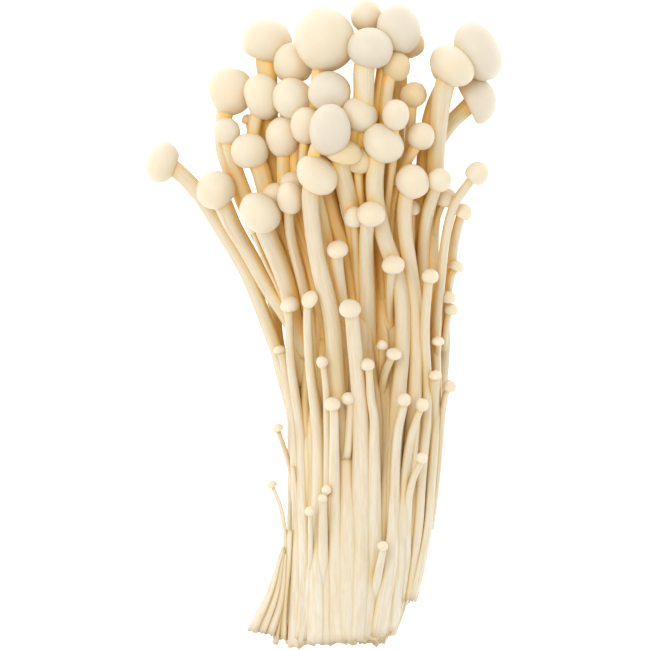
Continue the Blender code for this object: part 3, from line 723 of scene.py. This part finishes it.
def grow_stem(builder, line, length, widths, number, around, worn_end):
    """One stem along its line: uneven, lightly grooved lengthwise, and closed at both ends."""
    steps = len(line) - 1
    sheet = bmesh.ops.create_grid(builder, x_segments=around, y_segments=steps + 2, size=1)["verts"]
    draw = random.Random(number * 31 + 5)
    tone_and_shadow = draw.uniform(0, 1)
    grooves = draw.choice(GROOVES)
    groove_turn = draw.uniform(0, math.tau)
    oval_turn = draw.uniform(0, math.tau)
    oval = draw.uniform(*OVALS)
    seat = draw.uniform(0, 500)
    rings = []
    for i, centre in enumerate(line):
        along = (line[min(i + 1, steps)] - line[max(i - 1, 0)]).normalized()
        out = outward(centre)
        up = (out - along * out.dot(along)).normalized()
        side = along.cross(up)
        part = i / steps
        swell = 1 + SWELL_SIZE * noise.noise(Vector((part * length / MM * SWELL_GRAIN, seat, 0)))
        radius = (widths[0] + (widths[1] - widths[0]) * part) * PIXEL / 2 * swell
        packed = min(max((CENTRE_Y - centre.y / PIXEL - PACKED_FROM) / PACKED_OVER, 0.0), 1.0)
        side *= 1 + (PRESSED_WIDE - 1) * packed
        up *= 1 + (PRESSED_FLAT - 1) * packed
        rings.append((centre, along, side, up, radius))
    layers = builder.verts.layers
    for vert in sheet:
        column = round((vert.co.x + 1) / 2 * around) % around
        row = round((vert.co.y + 1) / 2 * (steps + 2)) - 1
        i = min(max(row, 0), steps)
        centre, along, side, up, radius = rings[i]
        turn = column / around * math.tau
        part = i / steps
        if row < 0 or row > steps:
            vert.co = centre
        else:
            groove = RIB_DEPTH * (
                math.cos(grooves * turn + groove_turn + 1.5 * part)
                + FINE_RIBS * math.cos((2 * grooves + 1) * turn + 3 * groove_turn - 2 * part)
            )
            flat = oval * math.cos(2 * turn + oval_turn + 2 * part)
            out = side * math.cos(turn) + up * math.sin(turn)
            vert.co = centre + out * radius * (1 + groove + flat)
            ragged = worn_end * max(part - RAGGED_FROM, 0) / (1 - RAGGED_FROM)
            vert.co += along * ragged * noise.noise(vert.co * RAGGED_GRAIN) * RAGGED_SIZE
        run = part * length / MM
        vert[layers.float_vector["fibre"]] = (
            math.cos(turn) * radius / MM + seat,
            math.sin(turn) * radius / MM + seat,
            run + seat,
        )
        vert[layers.float["tone_and_shadow"]] = tone_and_shadow
        cut_wear_and_under_shade = (part * length - length + WORN_LENGTH) / WORN_LENGTH
        vert[layers.float["cut_wear_and_under_shade"]] = worn_end * min(max(cut_wear_and_under_shade, 0.0), 1.0)


def grow_mushroom_stem(builder, mushroom, number, around, spacing):
    """The stem of one mushroom of the table or the rule."""
    line, length = smooth_line(stem_line(mushroom), spacing)
    grow_stem(
        builder, line, length, (mushroom.stem, mushroom.foot), number, around, float(mushroom.to_foot)
    )


def make_caps(name, mushrooms, first_number, around, rings):
    """A piece of all the caps of one kind."""
    builder = new_mesh_builder()
    ball = plain_ball(around, rings)
    for index, mushroom in enumerate(mushrooms):
        grow_cap(builder, mushroom, first_number + index, ball, around, rings)
    bpy.data.meshes.remove(ball)
    return finished_piece(name, builder, cap_finish)


def make_stems(name, mushrooms, first_number, around, spacing):
    """A piece of all the stems of one kind."""
    builder = new_mesh_builder()
    for index, mushroom in enumerate(mushrooms):
        grow_mushroom_stem(builder, mushroom, first_number + index, around, spacing)
    return finished_piece(name, builder, stem_finish)


BROKEN_FIRST_NUMBER = 700
BROKEN_SPACING = 0.0012
BROKEN_AROUND = 16


def make_broken_strands():
    """Strands of the foot that have lost their caps."""
    builder = new_mesh_builder()
    for index, (top, foot, route) in enumerate(STRANDS):
        points = [place(x, y, level(section_at(y), x, STRAND_LAYER, 1.0)) for x, y in route]
        line, length = smooth_line(points, BROKEN_SPACING)
        grow_stem(
            builder, line, length, (top, foot), BROKEN_FIRST_NUMBER + index, BROKEN_AROUND, 1.0
        )
    return finished_piece("broken_strands", builder, stem_finish)


PACKED_STRANDS = 70
PACKED_DEPTH = 0.93
PACKED_DEPTHS = (0.95, 1.03)
PACKED_JITTER = 0.3
PACKED_DRIFT = 0.12
PACKED_STEPS = 7
PACKED_SINK = 0.35
BEHIND_BELOW = 0.1
BEHIND_WITHIN = 0.75
CLIPPED_PAST = 0.8
CLIPPED_ABOVE = -0.5
PACKED_TOPS = (300, 390)
PACKED_TOPS_BEHIND = (150, 240)
PACKED_ENDS_CLIPPED = (597, 604)
PACKED_TOP_WIDTHS = (8, 11)
PACKED_FOOT_WIDTHS = (9, 14)
PACKED_FIRST_NUMBER = 800
PACKED_SPACING = 0.002
PACKED_AROUND = 10


def make_packed_foot():
    """The thin stems packed round the middle of the foot, behind those that are laid out one by one."""
    draw = random.Random(SEED + 1)
    builder = new_mesh_builder()
    for index in range(PACKED_STRANDS):
        turn = (index + draw.uniform(-PACKED_JITTER, PACKED_JITTER)) / PACKED_STRANDS * math.tau
        behind = math.sin(turn) < BEHIND_BELOW and abs(math.cos(turn)) < BEHIND_WITHIN
        top = draw.uniform(*(PACKED_TOPS_BEHIND if behind else PACKED_TOPS))
        foot = draw.uniform(*FOOT_ENDS)
        depth = PACKED_DEPTH * draw.uniform(*PACKED_DEPTHS)
        drift = draw.uniform(-PACKED_DRIFT, PACKED_DRIFT)
        if math.cos(turn) > CLIPPED_PAST and math.sin(turn) > CLIPPED_ABOVE:
            foot = draw.uniform(*PACKED_ENDS_CLIPPED)
        points = []
        for step in range(PACKED_STEPS + 1):
            row = top + (foot - top) * step / PACKED_STEPS
            here = section_at(row)
            bent = turn + drift * (1 - step / PACKED_STEPS)
            sink = depth * (1 - PACKED_SINK * max(1 - step / 2, 0))
            half_width = (here.right - here.left) / 2
            x = here.left + half_width * (1 + math.cos(bent) * sink)
            points.append(place(x, row, here.middle + here.half * math.sin(bent) * sink))
        line, length = smooth_line(points, PACKED_SPACING)
        widths = (draw.uniform(*PACKED_TOP_WIDTHS), draw.uniform(*PACKED_FOOT_WIDTHS))
        grow_stem(builder, line, length, widths, PACKED_FIRST_NUMBER + index, PACKED_AROUND, 1.0)
    return finished_piece("packed_stems", builder, stem_finish)


MIDDLE_TOP = 235
MIDDLE_LENGTH = 402
MIDDLE_STEPS = 120
MIDDLE_AROUND = 240
MIDDLE_TONE = 0.4
MIDDLE_FIBRES = 12
MIDDLE_WORN_FROM = 630
MIDDLE_WORN_OVER = 7
MIDDLE_FULLNESS = (
    (235, 0.38), (330, 0.78), (400, 0.86), (470, 0.93), (530, 1.0), (580, 1.03), (660, 1.05),
)
TRENCHES = ((308.0, 6.0, 505.0), (385.5, 7.0, 548.0))
TRENCH_DEPTH = 0.22
TRENCH_END = 30
FLUTE_DEPTH = 0.03
BEND_SIZE = 0.05
CREASE_SHARPNESS = 8
CREASES = ((0.05, 9, 160), (0.028, 22, 100))    # depth, how many round the middle, how long


def middle_fullness(row, x, front):
    """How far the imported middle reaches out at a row, less in the two trenches of the front."""
    given = [given_row for given_row, _ in MIDDLE_FULLNESS]
    after = min(max(bisect.bisect(given, row), 1), len(given) - 1)
    (low_row, low), (high_row, high) = MIDDLE_FULLNESS[after - 1], MIDDLE_FULLNESS[after]
    full = low + (high - low) * (row - low_row) / (high_row - low_row)
    if front:
        for middle, half_width, end in TRENCHES:
            near = math.exp(-(((x - middle) / half_width) ** 2))
            full -= TRENCH_DEPTH * near * min(max((end - row) / TRENCH_END, 0.0), 1.0)
    return full


def make_packed_middle():
    """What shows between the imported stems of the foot: the grown-together middle."""
    builder = new_mesh_builder()
    rows = [MIDDLE_TOP + MIDDLE_LENGTH * i / MIDDLE_STEPS for i in range(MIDDLE_STEPS + 1)]
    around = MIDDLE_AROUND
    sheet = bmesh.ops.create_grid(
        builder, x_segments=around, y_segments=len(rows) + 1, size=1
    )["verts"]
    layers = builder.verts.layers
    for vert in sheet:
        column = round((vert.co.x + 1) / 2 * around) % around
        ring = round((vert.co.y + 1) / 2 * (len(rows) + 1)) - 1
        row = rows[min(max(ring, 0), len(rows) - 1)]
        here = section_at(row)
        turn = column / around * math.tau
        middle = (here.left + here.right) / 2
        half_width = (here.right - here.left) / 2
        full = middle_fullness(row, middle + half_width * math.cos(turn), math.sin(turn) > 0)
        if ring < 0 or ring >= len(rows):
            full = 0.0
        bend = turn + BEND_SIZE * noise.noise(Vector((turn * 3, row / 45, 9)))
        creases = sum(
            depth * (1 - abs(noise.noise(Vector((bend * fine, row / long, fine))))) ** CREASE_SHARPNESS
            for depth, fine, long in CREASES
        )
        flute = 1 + FLUTE_DEPTH * noise.noise(Vector((turn * 9, row / 190, 3))) - creases
        x = middle + half_width * math.cos(turn) * full * flute
        vert.co = place(x, row, here.middle + here.half * math.sin(turn) * full * flute)
        vert[layers.float_vector["fibre"]] = (
            math.cos(turn) * MIDDLE_FIBRES,
            math.sin(turn) * MIDDLE_FIBRES,
            row * PIXEL / MM,
        )
        vert[layers.float["tone_and_shadow"]] = MIDDLE_TONE
        cut_wear_and_under_shade = (row - MIDDLE_WORN_FROM) / MIDDLE_WORN_OVER
        vert[layers.float["cut_wear_and_under_shade"]] = min(max(cut_wear_and_under_shade, 0.0), 1.0)
    return finished_piece("packed_middle", builder, stem_finish)


# Short lines of sight that find how closed in each vertex is, as the mask for painted shade
SIGHT_LENGTH = 0.026
SIGHT_START = 0.00025
SIGHT_FADE = 0.35
SOFTENINGS = 3
SIGHT_CONES = ((0.0, 1), (0.7, 4), (1.15, 5))   # how far they tilt, and how many there are


def softened(mesh, values):
    """Values at the vertices of a mesh, each drawn towards its neighbours'."""
    ends = np.empty(len(mesh.edges) * 2, dtype=np.int32)
    mesh.edges.foreach_get("vertices", ends)
    near, far = ends[0::2], ends[1::2]
    count = len(mesh.vertices)
    shares = 1 + np.bincount(ends, minlength=count)
    for _ in range(SOFTENINGS):
        values = np.asarray(values)
        gathered = np.bincount(near, values[far], count) + np.bincount(far, values[near], count)
        values = (values + gathered) / shares
    return values


def mark_occlusion_for_shade(pieces):
    """Keeps how closed in each vertex is, as the mask for painted shade: the share of its short lines
    of sight that meet the clump.
    """
    corners = []
    faces = []
    for piece in pieces:
        first = len(corners)
        corners.extend(vertex.co.copy() for vertex in piece.data.vertices)
        faces.extend([first + i for i in polygon.vertices] for polygon in piece.data.polygons)
    clump = BVHTree.FromPolygons(corners, faces)
    for piece in pieces:
        mesh = piece.data
        values = []
        for vertex in mesh.vertices:
            normal = vertex.normal
            side = normal.orthogonal().normalized()
            other = normal.cross(side)
            start = vertex.co + normal * SIGHT_START
            met = 0.0
            for tilt, count in SIGHT_CONES:
                for i in range(count):
                    turn = (i + tilt) / count * math.tau
                    way = normal * math.cos(tilt)
                    way += (side * math.cos(turn) + other * math.sin(turn)) * math.sin(tilt)
                    distance = clump.ray_cast(start, way, SIGHT_LENGTH)[3]
                    if distance is not None:
                        met += 1 - SIGHT_FADE * distance / SIGHT_LENGTH
            values.append(met / sum(count for _, count in SIGHT_CONES))
        kept = mesh.attributes.new("occlusion_for_shade", "FLOAT", "POINT")
        kept.data.foreach_set("value", softened(mesh, values))


class Finish:
    """A material in the making: its patterns and mixed colours, and its shader."""

    def __init__(self, name):
        self.material = bpy.data.materials.new(name)
        self.material.use_nodes = True
        self.nodes = self.material.node_tree.nodes
        self.links = self.material.node_tree.links
        self.shader = self.nodes["Principled BSDF"]

    def fill(self, node, **values):
        """Gives the inputs of a node a constant, or what another node puts out."""
        for key, value in values.items():
            socket = node.inputs[key.replace("_", " ")]
            if isinstance(value, bpy.types.NodeSocket):
                self.links.new(value, socket)
            else:
                socket.default_value = value
        return node.outputs

    def add(self, kind, **values):
        """What a new node puts out, with its inputs given."""
        return self.fill(self.nodes.new(kind), **values)

    def place_on_piece(self):
        """The place of each spot on the piece."""
        return self.add("ShaderNodeTexCoord")["Object"]

    def pattern(self, **values):
        """A soft, uneven pattern."""
        return self.add("ShaderNodeTexNoise", **values)["Fac"]

    def kept(self, name):
        """What is kept at each vertex under a name."""
        node = self.nodes.new("ShaderNodeAttribute")
        node.attribute_name = name
        return node.outputs

    def scaled(self, value, low, high, start=0.0, end=1.0):
        """A number stretched from one range to another, and held inside it."""
        return self.add(
            "ShaderNodeMapRange", Value=value, From_Min=low, From_Max=high, To_Min=start, To_Max=end
        )["Result"]

    def mixed(self, amount, first, second):
        """A colour mixed from two by an amount."""
        node = self.nodes.new("ShaderNodeMix")
        node.data_type = "RGBA"
        sockets = (node.inputs[0], node.inputs[6], node.inputs[7])
        for socket, value in zip(sockets, (amount, first, second)):
            if isinstance(value, bpy.types.NodeSocket):
                self.links.new(value, socket)
            else:
                socket.default_value = value
        return node.outputs[2]


CAP_PALE = (0.65, 0.59, 0.465, 1)
CAP_WARM = (0.66, 0.565, 0.41, 1)
CAP_GREY = (0.595, 0.54, 0.44, 1)
# Warm painted shade for cap undersides and closed-in places
PAINTED_SHADE_WARM = (0.73, 0.53, 0.25, 1)
# Painted shadow colour for the caps that lie in shadow
SHADOW_OCHRE = (0.62, 0.47, 0.25, 1)
FLESH_PALE = (0.67, 0.60, 0.46, 1)
FOOT_PALE = (0.68, 0.63, 0.52, 1)
FLESH_WARM = (0.63, 0.515, 0.34, 1)
# Painted shade colours: closed-in flesh, ochre deep in the gaps, tan in the gaps near the foot
FLESH_SHADED = (0.68, 0.53, 0.285, 1)
GAP_SHADE_OCHRE = (0.84, 0.53, 0.14, 1)
FOOT_GAP_SHADE_TAN = (0.62, 0.47, 0.26, 1)
# Colour of the caps' painted glow
CAP_GLOW = (0.85, 0.68, 0.42, 1)
WORN_BROWN = (0.45, 0.33, 0.18, 1)


def make_cap_finish():
    """Waxy skin: cream, warmer in soft patches, with faint freckles; painted ochre shade on the
    underside and in closed-in places, painted ochre shadow on caps that lie in shadow, and a painted
    glow.
    """
    skin = Finish("cap_skin")
    spot = skin.place_on_piece()
    patches = skin.pattern(Vector=spot, Scale=170.0, Detail=3.0, Roughness=0.55)
    freckles = skin.pattern(Vector=spot, Scale=1500.0, Detail=2.0, Roughness=0.5)
    pores = skin.pattern(Vector=spot, Scale=2600.0, Detail=3.0, Roughness=0.6)
    tone_and_shadow = skin.kept("tone_and_shadow")["Fac"]
    occlusion_for_shade = skin.kept("occlusion_for_shade")["Fac"]
    # on caps this mask marks the underside, for painted shade
    under = skin.kept("cut_wear_and_under_shade")["Fac"]
    soft = skin.mixed(skin.scaled(patches, 0.35, 0.7), CAP_PALE, CAP_WARM)
    greyed = skin.mixed(skin.scaled(tone_and_shadow, 0.4, GREY_TONE, end=0.9), soft, CAP_GREY)
    # painted shadow: caps that lie in shadow turn ochre
    shadow_painted = skin.mixed(skin.scaled(tone_and_shadow, 0.0, SHADOW_TONE, end=0.7), greyed, SHADOW_OCHRE)
    spotted = skin.mixed(skin.scaled(freckles, 0.66, 0.78, end=0.3), shadow_painted, CAP_WARM)
    # painted shade: closed-in places of the caps turn warm
    closed_in_shaded = skin.mixed(skin.scaled(occlusion_for_shade, 0.35, 0.9, end=0.45), spotted, PAINTED_SHADE_WARM)
    # painted ochre shade on the underside, under the rim
    shaded = skin.mixed(skin.scaled(under, 0.0, 1.0, end=0.6), closed_in_shaded, PAINTED_SHADE_WARM)
    skin.fill(
        skin.shader,
        Base_Color=shaded,
        Roughness=skin.scaled(patches, 0.3, 0.7, 0.42, 0.55),
        Subsurface_Weight=0.5,
        Subsurface_Radius=(0.0020, 0.0017, 0.0013),
        Subsurface_Scale=1.0,
        Specular_IOR_Level=0.35,
        # painted glow: an even cream emission that lifts the caps' shade
        Emission_Color=CAP_GLOW,
        Emission_Strength=0.065,
        Normal=skin.add("ShaderNodeBump", Height=pores, Strength=0.12, Distance=0.0002)["Normal"],
    )
    return skin.material


FIBRE_STRETCH = 0.07
FOOT_PALES = (-0.015, -0.06)     # where along the bunch, in metres, the flesh turns paler
FOOT_GAP_SHADE_TANS = (0.01, -0.03)        # where the painted ochre shade of the gaps turns to tan


def make_stem_finish():
    """Fibrous flesh: cream with lengthwise streaks, painted ochre shade deep in the clump, tan near the
    foot, worn at the cut.
    """
    flesh = Finish("stem_flesh")
    fibre = flesh.add(
        "ShaderNodeMapping", Vector=flesh.kept("fibre")["Vector"], Scale=(1.0, 1.0, FIBRE_STRETCH)
    )["Vector"]
    streaks = flesh.pattern(Vector=fibre, Scale=2.2, Detail=5.0, Roughness=0.65)
    broad = flesh.pattern(Vector=fibre, Scale=0.5, Detail=2.0, Roughness=0.5)
    tone_and_shadow = flesh.kept("tone_and_shadow")["Fac"]
    occlusion_for_shade = flesh.kept("occlusion_for_shade")["Fac"]
    cut_wear_and_under_shade = flesh.kept("cut_wear_and_under_shade")["Fac"]
    along = flesh.add("ShaderNodeSeparateXYZ", Vector=flesh.place_on_piece())["Y"]
    pale = flesh.mixed(flesh.scaled(along, *FOOT_PALES), FLESH_PALE, FOOT_PALE)
    lined = flesh.mixed(flesh.scaled(streaks, 0.42, 0.66), pale, FLESH_WARM)
    patchy = flesh.mixed(flesh.scaled(broad, 0.45, 0.8, end=0.4), lined, FLESH_WARM)
    toned = flesh.mixed(flesh.scaled(tone_and_shadow, 0.5, 1.0, end=0.3), patchy, FLESH_WARM)
    # painted shade: closed-in flesh turns ochre, deepest in the gaps and tan near the foot
    shaded = flesh.mixed(flesh.scaled(occlusion_for_shade, 0.2, 0.6), toned, FLESH_SHADED)
    gap_shade = flesh.mixed(flesh.scaled(along, *FOOT_GAP_SHADE_TANS), GAP_SHADE_OCHRE, FOOT_GAP_SHADE_TAN)
    deep_shaded = flesh.mixed(flesh.scaled(occlusion_for_shade, 0.5, 0.86), shaded, gap_shade)
    cut = flesh.mixed(flesh.scaled(cut_wear_and_under_shade, 0.5, 1.0, end=0.45), deep_shaded, WORN_BROWN)
    flesh.fill(
        flesh.shader,
        Base_Color=cut,
        Roughness=flesh.scaled(streaks, 0.3, 0.7, 0.45, 0.6),
        Subsurface_Weight=0.2,
        Subsurface_Radius=(0.0009, 0.0008, 0.0007),
        Subsurface_Scale=1.0,
        Specular_IOR_Level=0.3,
        Normal=flesh.add("ShaderNodeBump", Height=streaks, Strength=0.35, Distance=0.00025)["Normal"],
    )
    return flesh.material


# Stage, light and camera
FLOOR_SIZE = 4.0
FLOOR_DROP = 0.0002
SURROUNDING_STRENGTH = 1.06
LAMP_SIZE = 0.9
LAMP_POWER = 9.0
LAMP_PLACE = (-0.45, 0.4, 1.4)
LAMP_AIM = Vector((0, 0, 0.02))
CAMERA_HEIGHT = 3.0
AIM_HEIGHT = 0.028
WHITE = (1, 1, 1, 1)


def make_floor():
    """A plain white floor under the clump."""
    bpy.ops.mesh.primitive_plane_add(size=FLOOR_SIZE, location=(0, 0, -FLOOR_DROP))
    floor = bpy.context.object
    floor.name = "floor"
    paint = Finish("plain_floor")
    paint.fill(
        paint.shader,
        Base_Color=(0.95, 0.95, 0.95, 1),
        Roughness=0.9,
        Emission_Color=WHITE,
        Emission_Strength=0.6,
        Specular_IOR_Level=0.1,
    )
    floor.data.materials.append(paint.material)


def make_lights():
    """A white surrounding, with one broad light from the upper left of the view."""
    world = bpy.data.worlds.new("studio")
    world.use_nodes = True
    background = world.node_tree.nodes["Background"]
    background.inputs["Color"].default_value = WHITE
    background.inputs["Strength"].default_value = SURROUNDING_STRENGTH
    bpy.context.scene.world = world
    lamp = bpy.data.lights.new("broad_light", "AREA")
    lamp.shape = "RECTANGLE"
    lamp.size = LAMP_SIZE
    lamp.size_y = LAMP_SIZE
    lamp.energy = LAMP_POWER
    lamp.color = (1.0, 0.99, 0.97)
    light = bpy.data.objects.new("broad_light", lamp)
    light.location = LAMP_PLACE
    light.rotation_euler = (LAMP_AIM - light.location).to_track_quat("-Z", "Y").to_euler()
    bpy.context.scene.collection.objects.link(light)


def make_camera():
    """A long lens straight above, so that the view is nearly without perspective."""
    lens = bpy.data.cameras.new("view_from_above")
    lens.sensor_width = 36.0
    distance = CAMERA_HEIGHT - AIM_HEIGHT
    lens.lens = lens.sensor_width * distance / (VIEW_LENGTH * PIXEL)
    lens.clip_start = 0.1
    lens.clip_end = 20.0
    camera = bpy.data.objects.new("camera", lens)
    aim = place(VIEW_LENGTH / 2, VIEW_LENGTH / 2, 0)
    camera.location = (aim.x, aim.y, CAMERA_HEIGHT)
    bpy.context.scene.collection.objects.link(camera)
    bpy.context.scene.camera = camera


bpy.context.scene.view_settings.view_transform = "Standard"
cap_finish = make_cap_finish()
stem_finish = make_stem_finish()
far_side = far_mushrooms()
far_grown = [mushroom for mushroom in far_side if mushroom.wide >= TWINNED_FROM]
far_small = [mushroom for mushroom in far_side if mushroom.wide < TWINNED_FROM]

pieces = [
    make_caps("crown_caps", CROWN, first_number=0, around=48, rings=30),
    make_stems("crown_stems", CROWN, first_number=0, around=20, spacing=0.0012),
    make_caps("button_caps", BUTTONS, first_number=100, around=36, rings=22),
    make_stems("button_stems", BUTTONS, first_number=100, around=16, spacing=0.001),
    make_caps("far_caps", far_grown, first_number=200, around=40, rings=26),
    make_stems("far_stems", far_grown, first_number=200, around=16, spacing=0.0015),
    make_caps("far_button_caps", far_small, first_number=300, around=30, rings=20),
    make_stems("far_button_stems", far_small, first_number=300, around=12, spacing=0.0015),
    make_broken_strands(),
    make_packed_foot(),
    make_packed_middle(),
]
mark_occlusion_for_shade(pieces)

make_floor()
make_lights()
make_camera()
